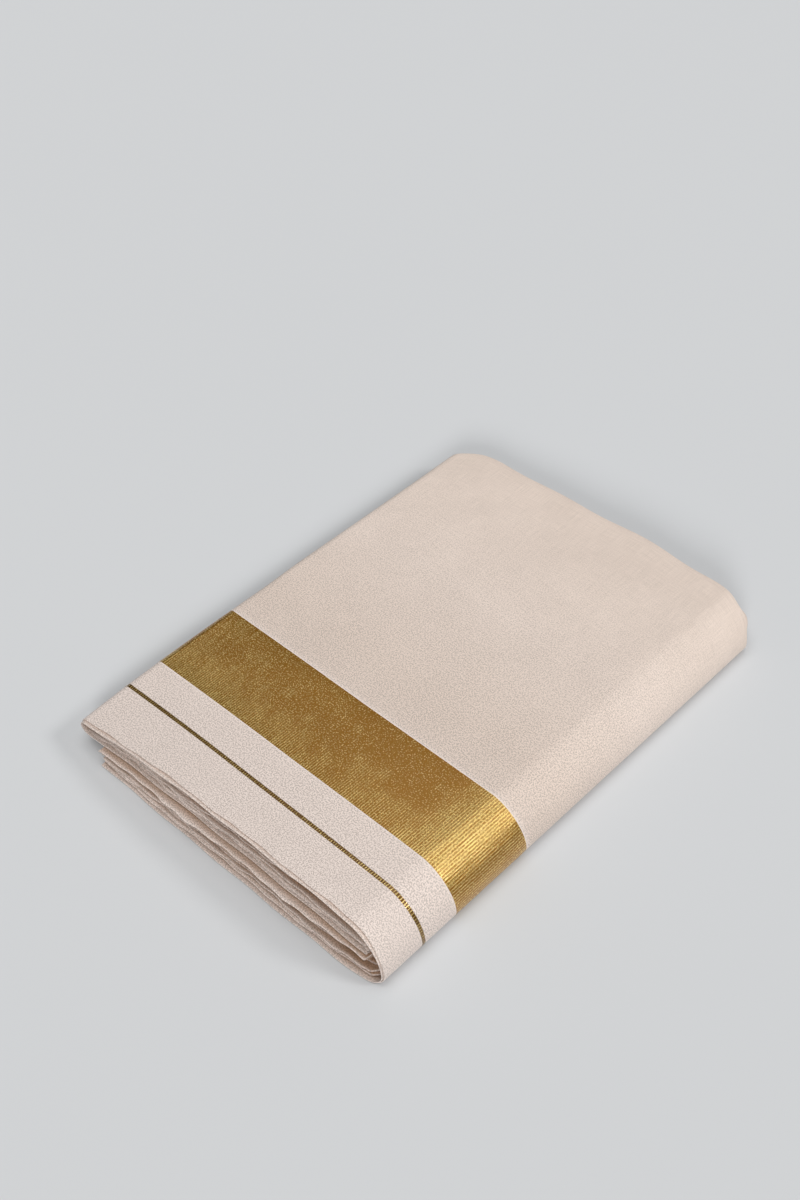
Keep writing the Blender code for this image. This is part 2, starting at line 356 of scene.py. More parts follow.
def wrap_point(stretch, share, y):
    """X and Z of the middle of the outer wrap's wall."""
    radius, centre = small_fold(y)
    start = fold_start(y)
    if stretch == "tuck":
        x = mix(TUCK_END, start, share)
        return x, settle(tuck_height(x, y), centre - radius, x - start)
    if stretch == "small fold":
        turn = -math.pi / 2 - math.pi * share
        return start + radius * np.cos(turn), centre + radius * np.sin(turn)
    if stretch == "top":
        x = mix(start, SHOULDER_START, share)
        drop = top_height(start, y) - HALF_WALL - centre - radius
        ease = np.clip(1 - (x - start) / EASE_RUN, 0.0, 1.0)
        return x, top_height(x, y) - HALF_WALL - drop * ease * ease * (3 - 2 * ease)
    if stretch == "large fold":
        return large_fold(share, y, HALF_WALL)
    return mix(foot_start(y), lower_end(y), share), HALF_WALL + 0 * share


def leaf_outer(stretch, share, y):
    """X and Z of the leaves' outer face, just inside the outer wrap."""
    if stretch == "upper":
        x, z = wrap_point("top", share, y)
        return x, z + HALF_WALL - LEAF_DEPTH
    if stretch == "turn":
        return large_fold(share, y, LEAF_DEPTH)
    return mix(foot_start(y), lower_end(y), share), LEAF_DEPTH + 0 * share


def leaf_inner(stretch, share, y):
    """X and Z of the leaves' inner face, round the tucked leaf."""
    clear = HALF_WALL + TUCK_CLEAR
    radius, centre = small_fold(y)
    start = fold_start(y)
    if stretch == "upper":
        x = mix(start, TUCK_END, share)
        return x, settle(tuck_height(x, y), centre - radius, x - start) + clear
    if stretch == "turn":
        turn = math.pi / 2 - math.pi * share
        return TUCK_END + clear * np.cos(turn), tuck_height(TUCK_END, y) + clear * np.sin(turn)
    x = mix(TUCK_END, lower_end(y), share)
    return x, settle(tuck_height(x, y), centre - radius, x - start) - clear


def far_folds(x):
    """Y of the solids' far folds over the point x: a wavy line, drawn back at both corners."""
    wave = FAR_WAVE * np.sin(2 * math.pi * FAR_WAVE_COUNT * x / PACKET_WIDTH)
    left = np.clip(1 - x / LEFT_CORNER, 0.0, 1.0) ** 2 * LEFT_DRAW_BACK
    right = np.clip(1 - (PACKET_WIDTH - x) / RIGHT_CORNER, 0.0, 1.0) ** 2 * RIGHT_DRAW_BACK
    return across(FAR_EDGE, x) + wave - left - right


def swollen(swell, x):
    return swell.amount * np.exp(-(((x - swell.x) / swell.reach) ** 2))


def far_edge(x):
    """Y of the cloth's far folds over the point x.

    The middle and the right corner stand out, and the left corner is rounder.
    """
    tip = LEFT_TIP.amount * np.clip(1 - x / LEFT_TIP.reach, 0.0, 1.0) ** 1.5
    return far_folds(x) + swollen(FAR_SWELL, x) + swollen(RIGHT_TIP, x) - tip


def middle_y():
    """Y of the packet's middle, from its near left corner."""
    reach = far_folds(np.linspace(0.0, PACKET_WIDTH, 201)).max()
    return (across(LOWER_SELVEDGE, LOWER_SETBACK) + reach) / 2


MIDDLE = (PACKET_WIDTH / 2, middle_y())


class Path:
    """A way through the packet's section, worked out at many Y levels and even along its length."""

    def __init__(self, stretches, point, spacing):
        self.levels = np.linspace(LEVEL_LOW, LEVEL_HIGH, LEVELS)
        share = np.linspace(0.0, 1.0, FINE + 1)
        lines = [[np.stack(point(s, share, y), axis=1) for s in stretches] for y in self.levels]
        middle = lines[LEVELS // 2]
        lengths = [np.hypot(*np.diff(line, axis=0).T).sum() for line in middle]
        counts = [max(int(round(length / spacing)), 4) for length in lengths]
        rows = []
        for level in lines:
            row = []
            for line, count in zip(level, counts):
                run = np.concatenate([[0.0], np.hypot(*np.diff(line, axis=0).T).cumsum()])
                at = np.linspace(0.0, run[-1], count + 1)[:-1]
                row.append(np.stack([np.interp(at, run, line[:, i]) for i in (0, 1)], axis=1))
            row.append(level[-1][-1:])
            rows.append(np.concatenate(row))
        self.points = np.array(rows)
        self.stretch = np.repeat(range(len(counts)), counts)
        self.stretch = np.append(self.stretch, len(counts) - 1)
        self.share = np.concatenate([np.arange(c) / c for c in counts] + [[1.0]])
        ends = np.concatenate([[0.0], np.cumsum(lengths)])
        self.length = ends[-1]
        self.along = ends[self.stretch] + self.share * np.array(lengths)[self.stretch]
        self.ends = ends
        self.beneath = ends[-2] - ends[-4]
        self.count = len(self.along) - 1
        run = np.gradient(self.points, axis=1)
        run /= np.linalg.norm(run, axis=2, keepdims=True)
        self.out = np.stack([-run[..., 1], run[..., 0]], axis=2)
        self.middle_x = self.points[LEVELS // 2, :, 0]

    def sample(self, table, station, y):
        """The table's value at each station and Y, mixed between the nearest levels."""
        place = (y - LEVEL_LOW) / (LEVEL_HIGH - LEVEL_LOW) * (LEVELS - 1)
        below = np.clip(np.floor(place).astype(int), 0, LEVELS - 2)
        share = (place - below)[..., None]
        return mix(table[below, station], table[below + 1, station], share)


def crease_height(along, y):
    """How far the cloth stands out of its plain form, in metres."""
    height = np.zeros(np.broadcast(along, y).shape)
    for crease in CREASES:
        start = np.array([crease.along, crease.y]) / 1000
        run = np.array([crease.to_along, crease.to_y]) / 1000 - start
        length = np.hypot(*run)
        forward = ((along - start[0]) * run[0] + (y - start[1]) * run[1]) / length
        aside = ((y - start[1]) * run[0] - (along - start[0]) * run[1]) / length
        width = crease.width / 1000
        beyond = np.maximum(np.maximum(-forward, forward - length), 0.0)
        share = np.clip(forward / length, 0.0, 1.0)
        swell = 0.65 + 0.35 * np.sin(math.pi * share) + 0.18 * np.sin(5.3 * share + crease.y)
        fade = np.exp(-((beyond / (1.6 * width)) ** 2))
        height -= crease.depth / 1000 * swell * fade * np.exp(-((aside / width) ** 2))
    return height


def selvedge(stretch, share, x):
    """Y of the near edge: the lower half's stands out further than the upper half's."""
    place = np.clip(x / PACKET_WIDTH, 0.0, 1.0)
    rise = np.clip((place - LOWER_RISE_START) / (1 - LOWER_RISE_START), 0.0, 1.0)
    upper = across(UPPER_SELVEDGE, x)
    lower = across(LOWER_SELVEDGE, x) - LOWER_BOW * 4 * place * (1 - place) + LOWER_RISE * rise**2
    turning = mix(upper, lower, share**LOWER_LAG)
    kinds = [np.isin(stretch, ("underside", "lower")), np.isin(stretch, ("large fold", "turn"))]
    return np.select(kinds, [lower, turning], upper)


def to_world(x, y, z):
    return np.stack(np.broadcast_arrays(x - MIDDLE[0], y - MIDDLE[1], z), axis=-1)


def bent_block(name, point, steps, material):
    """A closed solid from the six sides of a bent grid.

    point(i, j, k) gives the corners, their cloth UV and, for leaves, how near each one lies to its
    leaf's own edge.
    """
    sizes = [step + 1 for step in steps]
    quads = []
    for fixed in range(3):
        first, second = [axis for axis in range(3) if axis != fixed]
        a, b = np.meshgrid(np.arange(steps[first]), np.arange(steps[second]), indexing="ij")
        for end in (0, steps[fixed]):
            loop = []
            for da, db in ((0, 0), (1, 0), (1, 1), (0, 1)):
                key = [None] * 3
                key[fixed] = np.full(a.shape, end)
                key[first], key[second] = a + da, b + db
                loop.append(np.ravel_multi_index(key, sizes).ravel())
            quad = np.stack(loop, axis=1)
            keeps = (end != 0) == (fixed != 1)
            quads.append(quad if keeps else quad[:, ::-1])
    keys, faces = np.unique(np.concatenate(quads), return_inverse=True)
    faces = faces.reshape(-1, 4)
    points, cloth, *edge = point(*np.unravel_index(keys, sizes))
    a, b, c, d = [points[faces[:, corner]] for corner in range(4)]
    volume = np.einsum("ij,ij->i", a + b + c + d, np.cross(c - a, d - b)).sum()
    if volume < 0:
        faces = faces[:, ::-1]
    obj = new_mesh(name, points, faces, cloth, material)
    if edge:
        store(obj.data, "edge", edge[0])
    return obj


def new_mesh(name, points, faces, cloth, material):
    data = bpy.data.meshes.new(name)
    data.from_pydata(points.tolist(), [], faces.tolist())
    layer = data.uv_layers.new(name="cloth")
    layer.data.foreach_set("uv", cloth[faces.ravel()].astype(np.float32).ravel())
    data.shade_smooth()
    data.set_sharp_from_angle(angle=math.radians(50))
    data.materials.append(material)
    obj = bpy.data.objects.new(name, data)
    bpy.context.scene.collection.objects.link(obj)
    return obj


def cloth_sheet(name, path, start, end, span, spacing, depth, material, turn=False):
    """A stretch of cloth round the path between two crossings. With turn it folds back inside."""
    names = np.array(WRAP)[path.stretch]
    first = start(names, path.share, path.middle_x)
    last = end(names, path.share, path.middle_x)
    steps = max(int(round((last - first).mean() / spacing)), 1)
    bend = BEND_STEPS if turn else 0
    back = BACK_STEPS if turn else 0
    reach = SECOND_DEPTH / 2

    def point(i, j, k):
        side = 1.0 - 2.0 * j
        flat = np.clip(k / steps, 0.0, 1.0)
        bent = np.clip((k - steps) / max(bend, 1), 0.0, 1.0) * math.pi
        inside = np.clip((k - steps - bend) / max(back, 1), 0.0, 1.0)
        limit = last[i] - (reach + CLOTH_THICK / 2 if turn else 0.0)
        y = mix(first[i], limit, flat) + reach * np.sin(bent) - TURN_BACK * inside
        level = depth + CLOTH_THICK / 2 + reach * (1 - np.cos(bent))
        half = side * CLOTH_THICK / 2
        y = y + half * np.sin(bent)
        level = level - half * np.cos(bent)
        base = path.sample(path.points, i, y)
        out = path.sample(path.out, i, y)
        along = path.along[i] - path.ends[TOP_STRETCH]
        stand = HALF_WALL - level + crease_height(along, y)
        place = base + out * stand[..., None]
        place[..., 1] = np.maximum(place[..., 1], LOWEST)
        cloth = mix(span[0], span[1], np.clip(k / steps, 0.0, 1.0))
        return to_world(place[..., 0], y, place[..., 1]), np.stack([along, cloth], axis=-1)

    return bent_block(name, point, (path.count, 1, steps + bend + back), material)


def at_crossing(line):
    """A piece's limit at a woven line."""
    return lambda stretch, share, x: woven(line, x)


def far_limit(stretch, share, x):
    return far_edge(x)


def outer_selvedge(stretch, share, x):
    """The outer layer's selvedge lies a little back from the layer inside it, unevenly."""
    sway = 0.00035 * np.sin(24 * x / PACKET_WIDTH) + 0.00025 * np.sin(61 * x / PACKET_WIDTH + 1.0)
    return selvedge(stretch, share, x) + SELVEDGE_BACK + sway


def second_selvedge(stretch, share, x):
    sway = 0.00030 * np.sin(31 * x / PACKET_WIDTH + 2.0)
    return selvedge(stretch, share, x) + 0.0002 + sway


def second_far(stretch, share, x):
    return far_edge(x) - TURN_BACK - TURN_GAP


def three_way(values, x):
    """A value given at the left, the middle and the right, read off smoothly between them."""
    share = x / PACKET_WIDTH
    left, middle, right = [value / 1000 for value in values]
    return (
        left * (1 - share) * (1 - 2 * share)
        + middle * 4 * share * (1 - share)
        + right * share * (2 * share - 1)
    )


def half_round(share):
    """A half circle's height over its width: 0 at both ends and 1 in the middle."""
    return np.sqrt(np.maximum(1 - (2 * share - 1) ** 2, 0.0))


class LeafForm:
    """The bent stack of leaves between the wrap's halves."""

    def __init__(self, spacing):
        self.outer = Path(LEAF, leaf_outer, spacing)
        self.stations = self.outer.count
        share = self.outer.share
        kinds = self.outer.stretch
        levels = self.outer.levels
        rows = []
        for y in levels:
            row = np.zeros((self.stations + 1, 2))
            for index, stretch in enumerate(LEAF):
                mask = kinds == index
                row[mask] = np.stack(leaf_inner(stretch, share[mask], y), axis=1)
            rows.append(row)
        self.inner = np.array(rows)
        self.names = np.array(LEAF)[kinds]

    def leaf(self, index, y_steps):
        row = LEAVES[index]
        kinds = self.outer.stretch
        share = self.outer.share
        shares = np.array([place for place, _ in LIP])
        lips = np.array([lip for _, lip in LIP]) / 1000
        lips = lips + np.where(shares > 0.5, row.step / 1000, 0.0)
        lips = lips - lips.min()
        low = (index + LEAF_SPACE) / len(LEAVES)
        high = (index + 1 - LEAF_SPACE) / len(LEAVES)
        upper = kinds == 0
        lower = kinds == 2

        def point(i, j, k):
            across_leaf = shares[j]
            depth = mix(low, high, across_leaf)
            x = mix(self.outer.middle_x[i], self.inner[LEVELS // 2, i, 0], depth)
            edge = selvedge(self.names[i], share[i], x)
            turn = 2 * math.pi * row.count * x / PACKET_WIDTH + row.phase
            sway = row.sway / 1000 * (np.sin(turn) + FINE_SWAY * np.sin(FINE_SWAY_TURN * turn))
            above = three_way(row.upper, x)
            below = three_way(row.lower, x)
            turning = mix(above, below, share[i]) + TURN_IN * np.sin(math.pi * share[i])
            back = np.select([upper[i], lower[i]], [above, below], turning)
            first = edge + LEAF_BACK + np.maximum(back + sway, 0.0)
            groove = mix(GROOVE_LEFT, 1.0, x / PACKET_WIDTH)
            groove = np.where(np.abs(across_leaf - 0.5) < GROOVE_HALF, groove, 1.0)
            near = first + lips[j] * groove
            nose = LEAF_NOSE * (1 - half_round(across_leaf))
            far = far_edge(x) - row.far / 1000 - nose - LEAF_BACK
            stand = np.where(upper[i] | lower[i], 0.0, np.sin(math.pi * share[i]))
            far = far + MIDDLE_OUT * stand * (index > 1) * (index < 5)
            y = mix(near, far, (k / y_steps) ** CROWDING)
            pinch = 1 - PINCH * np.exp(-np.maximum(y - near, 0.0) / PINCH_REACH)
            depth = mix(low, high, 0.5 + (across_leaf - 0.5) * pinch)
            fade = np.exp(-np.maximum(y - near, 0.0) / RIPPLE_REACH)
            place = self.outer.along[i] / PACKET_WIDTH
            for ripple in RIPPLES:
                wave = np.sin(2 * math.pi * ripple.count * place + ripple.phase)
                depth = depth + fade * ripple.amount * np.sin(ripple.order * math.pi * depth) * wave
            outer = self.outer.sample(self.outer.points, i, y)
            inner = self.outer.sample(self.inner, i, y)
            spot = mix(outer, inner, depth[..., None])
            radius, _ = small_fold(y)
            clear = np.maximum(radius - LEAF_DEPTH, 0.0)
            bulge = clear * half_round(depth) - row.left_up / 1000
            blend = np.clip(1 - share[i] / LEAF_END, 0.0, 1.0) * upper[i]
            spot[..., 0] -= blend * (bulge - nose)
            blend = np.clip((share[i] - (1 - LEAF_END)) / LEAF_END, 0.0, 1.0) * lower[i]
            drawn = corner_draw(y) * index / (len(LEAVES) - 1)
            spot[..., 0] += blend * (row.left_low / 1000 + nose - drawn)
            along = self.outer.along[i]
            return (
                to_world(spot[..., 0], y, spot[..., 1]),
                np.stack([along, y], axis=-1),
                np.clip(1 - (y - first) / EDGE_REACH, 0.0, 1.0),
            )

        return point, (self.stations, len(LIP) - 1, y_steps)


class Value:
    """A number in a node tree. Sums and products of such values are math nodes."""

    def __init__(self, tree, socket):
        self.tree = tree
        self.socket = socket

    def __add__(self, other):
        return self.tree.math("ADD", self, other)

    def __sub__(self, other):
        return self.tree.math("SUBTRACT", self, other)

    def __rsub__(self, other):
        return self.tree.math("SUBTRACT", other, self)

    def __mul__(self, other):
        return self.tree.math("MULTIPLY", self, other)

    def __truediv__(self, other):
        return self.tree.math("DIVIDE", self, other)

    def clamped(self):
        """The same value, kept from 0 to 1."""
        self.socket.node.use_clamp = True
        return self


class Tree:
    """A node tree, and short ways to add nodes to it."""

    def __init__(self, tree):
        self.nodes, self.links = tree.nodes, tree.links

    def give(self, socket, source):
        """Links the socket to a value or to another socket, or sets it to a constant."""
        source = source.socket if isinstance(source, Value) else source
        if isinstance(source, bpy.types.NodeSocket):
            self.links.new(source, socket)
        else:
            socket.default_value = source

    def fill(self, node, sources):
        for name, source in sources.items():
            self.give(node.inputs[name], source)

    def value(self, socket):
        return Value(self, socket)

    def math(self, operation, *sources):
        node = self.nodes.new("ShaderNodeMath")
        node.operation = operation
        for socket, source in zip(node.inputs, sources):
            self.give(socket, source)
        return self.value(node.outputs[0])

    def split(self, vector):
        """The vector's X, Y and Z."""
        node = self.nodes.new("ShaderNodeSeparateXYZ")
        self.links.new(vector, node.inputs[0])
        return [self.value(socket) for socket in node.outputs]

    def noise(self, vector, scale, detail, stretch=None):
        if stretch is not None:
            mapping = self.nodes.new("ShaderNodeMapping")
            self.fill(mapping, {"Scale": stretch, "Vector": vector})
            vector = mapping.outputs["Vector"]
        node = self.nodes.new("ShaderNodeTexNoise")
        self.fill(node, {"Scale": scale, "Detail": detail, "Vector": vector})
        return self.value(node.outputs["Fac"])

    def mix(self, share, first, second, blend="MIX"):
        node = self.nodes.new("ShaderNodeMix")
        node.data_type = "RGBA"
        node.blend_type = blend
        for name, source in (("Factor", share), ("A", first), ("B", second)):
            self.give([s for s in node.inputs if s.name == name and s.enabled][0], source)
        return [s for s in node.outputs if s.enabled][0]

    def bump(self, height, strength, distance):
        node = self.nodes.new("ShaderNodeBump")
        self.fill(node, {"Strength": strength, "Distance": distance, "Height": height})
        return node.outputs["Normal"]

    def attribute(self, name):
        """A number that the mesh keeps for each vertex, in a geometry tree."""
        node = self.nodes.new("GeometryNodeInputNamedAttribute")
        node.data_type = "FLOAT"
        node.inputs["Name"].default_value = name
        return self.value(node.outputs["Attribute"])


def colour(values):
    return (*values[:3], 1.0)


def new_material(name):
    """A new material, its tree and its shader."""
    material = bpy.data.materials.new(name)
    material.use_nodes = True
    return material, Tree(material.node_tree), material.node_tree.nodes["Principled BSDF"]


def cloth_coordinates(tree):
    """The piece's own UV map, and along and across the cloth from it, in metres."""
    uv = tree.nodes.new("ShaderNodeUVMap")
    uv.uv_map = "cloth"
    along, over, _ = tree.split(uv.outputs["UV"])
    return uv.outputs["UV"], along, over


def cotton_material(settings):
    """Fine plain-woven cotton: threads both ways, uneven yarn, a soft calendered sheen."""
    material, tree, shader = new_material("cotton_weave")
    uv, along, over = cloth_coordinates(tree)
    turns = 2 * math.pi / settings.thread_pitch
    weave = tree.math("SINE", along * turns) * tree.math("SINE", over * turns)
    yarn_along = tree.noise(uv, 1.0, 2.0, (YARN_RUN, YARN_FINE, 1.0))
    yarn_over = tree.noise(uv, 1.0, 2.0, (YARN_FINE, YARN_RUN, 1.0))
    yarn = (yarn_along + yarn_over) * 0.5
    # Colour from near to far along Y: mostly painted light, partly the cloth's own tone
    place = tree.nodes.new("ShaderNodeTexCoord")
    ramp = tree.nodes.new("ShaderNodeMapRange")
    y = tree.split(place.outputs["Object"])[1]
    tree.fill(ramp, {"From Min": TINT_START, "From Max": TINT_END, "Value": y})
    far = tree.value(ramp.outputs[0])
    tint = tree.mix(far, colour(settings.near_tone_and_light), colour(settings.far_tone_and_light))
    darker = tree.mix(1.0, tint, DARKER_YARN, "MULTIPLY")
    spread = (yarn - 0.5) * 1.5 + (tree.noise(uv, 26.0, 3.0) - 0.5) * 0.35
    speck = (tree.noise(uv, 1300.0, 1.0) - 0.5) * (9.0 - far * 8.6)
    share = (spread + (weave * 0.16 + speck) + 0.35).clamped()
    finish = tree.mix(share, tint, darker)
    # Painted shade: a darker strip of cotton beyond the band
    start = ((over - CLOTH_BAND_END) / SHADED_STRIP_RISE).clamped()
    end = ((SHADED_STRIP_END - over) / SHADED_STRIP_FALL).clamped()
    deep = tree.mix(1.0, finish, SHADED_STRIP, "MULTIPLY")
    finish = tree.mix(start * end, finish, deep)
    beside = [
        (1.0 - tree.math("ABSOLUTE", over - line) / PALE_REACH).clamped()
        for line in (CLOTH_BAND_START, CLOTH_BAND_END)
    ]
    pale = (beside[0] + beside[1]).clamped() * 0.8
    finish = tree.mix(pale, finish, colour(settings.edge_colour))
    # Painted shade: the stored shade attribute darkens the colour by the tint set for it, standing for
    # the shade in the packet's recesses and under other layers
    painted_shade = tree.nodes.new("ShaderNodeAttribute")
    painted_shade.attribute_name = "painted_shade"
    shaded_finish = tree.mix(1.0, finish, colour(settings.painted_shade_tint), "MULTIPLY")
    inputs = {
        "Base Color": tree.mix(painted_shade.outputs["Fac"], finish, shaded_finish),
        "Roughness": yarn * 0.16 + 0.50,
        "Normal": tree.bump(weave + yarn * 2.4, 0.45, 0.00007),
        "Specular IOR Level": 0.45,
        "Sheen Weight": 0.22,
        "Sheen Roughness": 0.40,
        "Sheen Tint": (1.0, 0.99, 0.98, 1.0),
    }
    tree.fill(shader, inputs)
    return material


def zari_material(name, settings, pitch, rib_share, shine, depth):
    """Gold zari: metal-wrapped weft over a fine warp, with glinting and dull threads."""
    material, tree, shader = new_material(name)
    uv, along, over = cloth_coordinates(tree)
    threads = tree.math("SINE", over * (2 * math.pi / ZARI_THREAD_PITCH))
    rib = tree.math("COSINE", along * (2 * math.pi / pitch))
    crest = tree.math("POWER", tree.math("MAXIMUM", rib, 0.0), 2.5)
    near = ((CLOTH_BAND_START + RIBBED_REACH - over) / RIBBED_REACH).clamped()
    # Painted highlight and shade on the gold: fold brightens the metal and lifts its ribs where the
    # streak of reflected light runs over the large fold's shoulder, lower darkens it beneath as
    # painted shade, and left brightens the band towards the left to even its reflection
    fold = ((along - HIGHLIGHT_FOLD_START) / HIGHLIGHT_FOLD_RUN).clamped()
    lower = ((along - SHADED_FOLD_START) / SHADED_FOLD_RUN).clamped()
    left = (1.0 - along / LIT_LEFT_RUN).clamped()
    patch = tree.noise(uv, 34.0, 1.0) * 0.6 - 0.36 + near * 0.40 + fold * 0.45
    crest = crest * (patch * 4.0).clamped()
    fleck = tree.noise(uv, 1.0, 1.0, (1300.0, 900.0, 1.0))
    spark = ((tree.noise(uv, 1250.0, 0.0) - 0.56) * 6.0).clamped()
    streak = tree.noise(uv, 1.0, 2.0, (720.0, 60.0, 1.0))
    cloud = tree.noise(uv, 55.0, 2.0)
    glint = ((tree.noise(uv, 78.0, 1.0) - 0.60) * 7.0).clamped() * (rib + 0.4)
    level = crest * rib_share
    for source, weight in ((fleck, 1.2), (streak, 0.8), (cloud, 0.25), (spark, 0.9)):
        level = level + (source - 0.5) * weight
    for source, weight in ((glint, 0.35), (fold, 0.34), (lower, -0.26), (left, 0.28)):
        level = level + source * weight
    share = (level + shine).clamped()
    dull = colour([value * depth for value in settings.dull_gold])
    normal = tree.bump(threads + fleck * 3.0 + streak * 3.0, 0.35, 0.00006)
    inputs = {
        "Base Color": tree.mix(share, dull, colour(settings.bright_gold)),
        "Roughness": fleck * 0.18 + 0.27,
        "Normal": normal,
        "Coat Normal": normal,
        "Metallic": 0.86,
        "Coat Weight": 1.0,
        "Coat IOR": 1.52,
        "Coat Roughness": 0.21,
    }
    tree.fill(shader, inputs)
    return material


def ribbed_weave_tree():
    """Geometry Nodes: raises even ribs across a woven strip, each a little higher or lower."""
    group = bpy.data.node_groups.new("ribbed_weave", "GeometryNodeTree")
    face = group.interface
    face.new_socket("Geometry", in_out="INPUT", socket_type="NodeSocketGeometry")
    for name, value, low, high in (
        ("Rib Pitch", 0.0015, 0.0003, 0.01),
        ("Rib Height", 0.0001, 0.0, 0.001),
        ("Unevenness", 0.5, 0.0, 1.0),
    ):
        socket = face.new_socket(name, in_out="INPUT", socket_type="NodeSocketFloat")
        socket.default_value = value
        socket.min_value = low
        socket.max_value = high
    seed = face.new_socket("Seed", in_out="INPUT", socket_type="NodeSocketInt")
    seed.default_value = 7
    face.new_socket("Weave", in_out="INPUT", socket_type="NodeSocketMaterial")
    face.new_socket("Geometry", in_out="OUTPUT", socket_type="NodeSocketGeometry")
    tree = Tree(group)
    given = tree.nodes.new("NodeGroupInput").outputs
    turns = tree.attribute("along") / given["Rib Pitch"]
    wave = tree.math("COSINE", turns * (2 * math.pi))
    noise = tree.nodes.new("ShaderNodeTexNoise")
    noise.noise_dimensions = "1D"
    place = turns + tree.value(given["Seed"]) * SEED_STEP
    tree.fill(noise, {"Scale": 0.45, "Detail": 3.0, "W": place})
    lift = (tree.value(noise.outputs["Fac"]) - 0.5) * 3.0 * given["Unevenness"] + 1.0
    height = wave * lift * given["Rib Height"] * tree.attribute("raised")
    normal = tree.nodes.new("GeometryNodeInputNormal")
    scaled = tree.nodes.new("ShaderNodeVectorMath")
    scaled.operation = "SCALE"
    tree.fill(scaled, {"Vector": normal.outputs["Normal"], "Scale": height})
    geometry = given["Geometry"]
    for kind, sources in (
        ("GeometryNodeSetPosition", {"Offset": scaled.outputs["Vector"]}),
        ("GeometryNodeRealizeInstances", {}),
        ("GeometryNodeSetMaterial", {"Material": given["Weave"]}),
    ):
        node = tree.nodes.new(kind)
        tree.fill(node, {"Geometry": geometry, **sources})
        geometry = node.outputs["Geometry"]
    tree.fill(tree.nodes.new("NodeGroupOutput"), {"Geometry": geometry})
    return group


def raise_ribs(obj, pitch, height, unevenness, seed, material):
    """Puts the ribs on the strip and returns it as a plain mesh."""
    tree = bpy.data.node_groups.get("ribbed_weave") or ribbed_weave_tree()
    modifier = obj.modifiers.new("ribs", "NODES")
    modifier.node_group = tree
    values = {
        "Rib Pitch": pitch,
        "Rib Height": height,
        "Unevenness": unevenness,
        "Seed": seed,
        "Weave": material,
    }
    for socket in tree.interface.items_tree:
        if socket.in_out == "INPUT" and socket.name in values:
            modifier[socket.identifier] = values[socket.name]
    graph = bpy.context.evaluated_depsgraph_get()
    graph.update()
    plain = bpy.data.meshes.new_from_object(obj.evaluated_get(graph))
    plain.name = obj.name
    obj.modifiers.clear()
    old = obj.data
    obj.data = plain
    bpy.data.meshes.remove(old)
    return obj


def store(data, name, values):
    """Keeps one number for each vertex under the name."""
    layer = data.attributes.new(name, "FLOAT", "POINT")
    layer.data.foreach_set("value", values.astype(np.float32))


def cloth_places(data):
    """Along and across the cloth at each vertex."""
    cloth = np.zeros(len(data.loops) * 2, np.float32)
    data.uv_layers["cloth"].data.foreach_get("uv", cloth)
    corners = np.zeros(len(data.loops), np.int32)
    data.loops.foreach_get("vertex_index", corners)
    places = np.zeros((len(data.vertices), 2), np.float32)
    places[corners] = cloth.reshape(-1, 2)
    return places[:, 0], places[:, 1]


def mark_raised(obj, low, high, beneath):
    """Stores where the ribs go: less at the strip's two edges, and none beneath the packet."""
    along, over = cloth_places(obj.data)
    edge = np.minimum(over - low, high - over)
    raised = np.clip(edge / RIB_EDGE, RIB_EDGE_SHARE, 1.0)
    raised = raised * np.clip((beneath - along) / RIB_END_RUN, 0.0, 1.0)
    store(obj.data, "along", along)
    store(obj.data, "raised", raised)


def mark_wrap_shade(obj, path, last):
    """Stores painted shade for each point, from 0 to 1, where the cloth lies inside the packet.

    The stretches up to the one called last are shaded, less so at both ends. A layer that is tucked as
    far as the small fold is also shaded under the outer one, all but its edge.
    """
    along, over = cloth_places(obj.data)
    end = path.ends[WRAP.index(last) + 1] - path.ends[TOP_STRETCH]
    tucked = np.clip((end - along) / TUCKED_RUN, 0.0, 1.0)
    back = np.minimum(over, CLOTH_FAR_FOLD - over) - SHADE_START
    painted_shade = tucked * np.clip(back / SHADE_RUN, 0.0, 1.0)
    if last == "small fold":
        painted_shade = np.maximum(painted_shade, np.clip(over / COVERED_RUN, 0.0, COVERED_MOST))
    store(obj.data, "painted_shade", painted_shade)


def mark_leaf_shade(obj):
    """Stores painted shade: more further in from the near and far ends, less at a leaf's own edge."""
    data = obj.data
    places = np.zeros(len(data.vertices) * 3, np.float32)
    data.vertices.foreach_get("co", places)
    places = places.reshape(-1, 3)
    x, y = places[:, 0] + MIDDLE[0], places[:, 1] + MIDDLE[1]
    upper = places[:, 2] > tuck_height(x, 0.0)
    edge = np.where(upper, across(UPPER_SELVEDGE, x), across(LOWER_SELVEDGE, x))
    back = np.minimum(y - edge, far_edge(x) - y) - SHADE_START
    back = np.clip(back / SHADE_RUN, 0.0, 1.0)
    own_edge = np.zeros(len(data.vertices), np.float32)
    data.attributes["edge"].data.foreach_get("value", own_edge)
    store(data, "painted_shade", back * (1 - EDGE_UNSHADED * own_edge))


def placed(obj, node):
    """Attaches the piece to the root body and hides the solid it stands for, if one is given."""
    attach(obj, "root")
    if node:
        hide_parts(node)
    return obj


